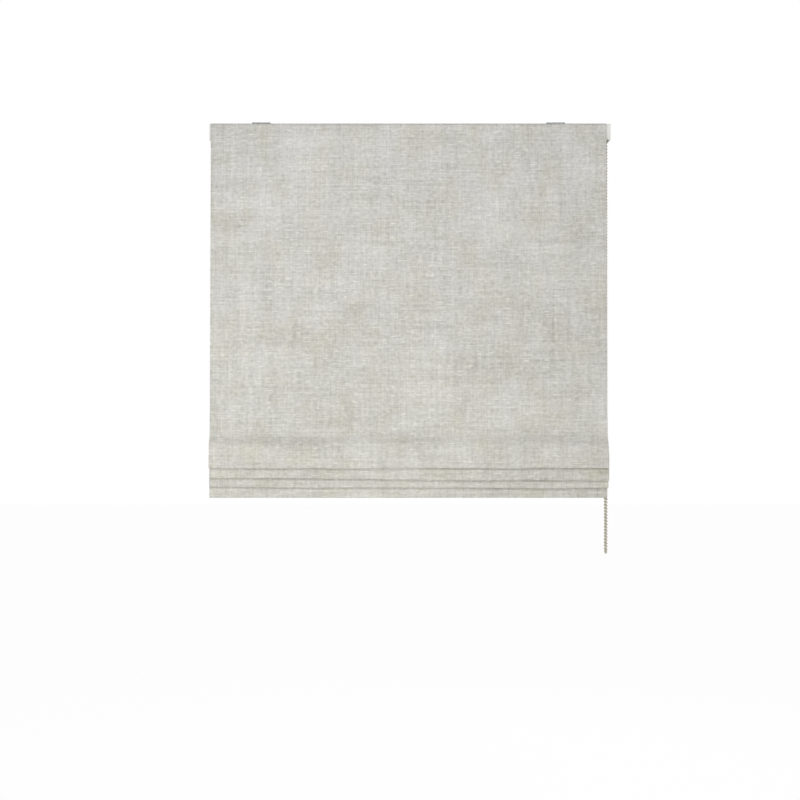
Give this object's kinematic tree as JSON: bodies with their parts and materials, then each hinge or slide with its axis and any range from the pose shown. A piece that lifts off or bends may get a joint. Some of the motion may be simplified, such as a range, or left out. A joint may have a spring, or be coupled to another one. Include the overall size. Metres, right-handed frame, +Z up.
{
  "type": "roman blind",
  "caption": "Roman blind of slubbed linen drawn part way up into hanging folds, with battens, lift cords, a headrail on swivel brackets and a bead chain drive.",
  "frame": {"origin": "midpoint between the two bracket screw holes, on the top face of the bracket plates, where the window head is", "axes": "+X along the window to the right as seen from the room, +Y into the window away from the room, +Z up"},
  "size_m": [0.7614, 0.0943, 0.8215],
  "materials": {
    "face_linen": "slubbed linen weave",
    "lining_cotton": "plain cotton sateen",
    "pocket_cotton": "woven tape",
    "hook_tape": "hooked pile",
    "loop_tape": "looped pile",
    "rail_coat": "powder coated white",
    "cap_plastic": "moulded, light texture",
    "cradle_plastic": "moulded",
    "drum_plastic": "moulded",
    "drive_plastic": "moulded",
    "lever_plastic": "moulded",
    "zinc_steel": "bright zinc",
    "shaft_steel": "drawn bar",
    "spring_steel": "oiled wire",
    "bead_plastic": "moulded, satin",
    "ring_plastic": "moulded, clear white",
    "cord_braid": "braided polyester",
    "batten_fibreglass": "drawn fibreglass",
    "bar_metal": "mill finish"
  },
  "bodies": {
    "headrail": {"headrail": "rail_coat", "end_cap": "cap_plastic", "clutch_housing": "cap_plastic", "clutch_cover": "cap_plastic", "brake_spring": "spring_steel", "hook_tape": "hook_tape", "loop_tape": "loop_tape", "drum_cradle_left": "cradle_plastic", "drum_cradle_middle": "cradle_plastic", "drum_cradle_right": "cradle_plastic", "bracket_plate_left": "zinc_steel", "bracket_plate_right": "zinc_steel", "lever_rivets": "zinc_steel", "bead_chain": "bead_plastic", "chain_connector": "bead_plastic"},
    "folds": {"face_cloth": "face_linen", "lining": "lining_cotton", "batten_4": "batten_fibreglass", "pocket_tape_4": "pocket_cotton", "cord_rings_4": "ring_plastic", "batten_5": "batten_fibreglass", "pocket_tape_5": "pocket_cotton", "cord_rings_5": "ring_plastic", "batten_6": "batten_fibreglass", "pocket_tape_6": "pocket_cotton", "cord_rings_6": "ring_plastic", "lift_cord_left": "cord_braid", "lift_cord_middle": "cord_braid", "lift_cord_right": "cord_braid", "cord_locks": "ring_plastic", "bottom_bar": "bar_metal", "bar_end_plugs": "ring_plastic"},
    "top_batten": {"batten_1": "batten_fibreglass", "pocket_tape_1": "pocket_cotton", "cord_rings_1": "ring_plastic"},
    "second_batten": {"batten_2": "batten_fibreglass", "pocket_tape_2": "pocket_cotton", "cord_rings_2": "ring_plastic"},
    "third_batten": {"batten_3": "batten_fibreglass", "pocket_tape_3": "pocket_cotton", "cord_rings_3": "ring_plastic"},
    "drive": {"drive_shaft": "shaft_steel", "shaft_bush": "drive_plastic", "chain_wheel": "drive_plastic", "cord_drum_left": "drum_plastic", "cord_drum_middle": "drum_plastic", "cord_drum_right": "drum_plastic"},
    "left_lever": {"bracket_lever_left": "lever_plastic"},
    "right_lever": {"bracket_lever_right": "lever_plastic"}
  },
  "joints": [
    {"name": "lift", "type": "slide", "parent": "headrail", "child": "folds", "axis": [0, 0, 1], "range_m": [-0.46, 0.48], "deforming": ["face_cloth", "lining", "lift_cord_left", "lift_cord_middle", "lift_cord_right"]},
    {"name": "third_batten_rise", "type": "slide", "parent": "headrail", "child": "third_batten", "axis": [0, 0, 1], "range_m": [-0.4482, 0.4676]},
    {"name": "second_batten_rise", "type": "slide", "parent": "headrail", "child": "second_batten", "axis": [0, 0, 1], "range_m": [-0.2739, 0.2857]},
    {"name": "top_batten_rise", "type": "slide", "parent": "headrail", "child": "top_batten", "axis": [0, 0, 1], "range_m": [-0.0995, 0.1038]},
    {"name": "drive_turn", "type": "hinge", "parent": "headrail", "child": "drive", "pos_m": [0, -0.0314, -0.02075], "axis": [1, 0, 0], "range_deg": [-2900, 2780], "deforming": ["bead_chain"]},
    {"name": "left_lever_turn", "type": "hinge", "parent": "headrail", "child": "left_lever", "pos_m": [-0.28, -0.029, 0], "axis": [0, 0, 1], "range_deg": [-90, 0]},
    {"name": "right_lever_turn", "type": "hinge", "parent": "headrail", "child": "right_lever", "pos_m": [0.28, -0.029, 0], "axis": [0, 0, 1], "range_deg": [0, 90]}
  ],
  "couplings": [
    {"joint": "third_batten_rise", "follows": "lift", "ratio": 0.97},
    {"joint": "second_batten_rise", "follows": "lift", "ratio": 0.591},
    {"joint": "top_batten_rise", "follows": "lift", "ratio": 0.212},
    {"joint": "drive_turn", "follows": "lift", "rad_per_m": -105.26}
  ]
}
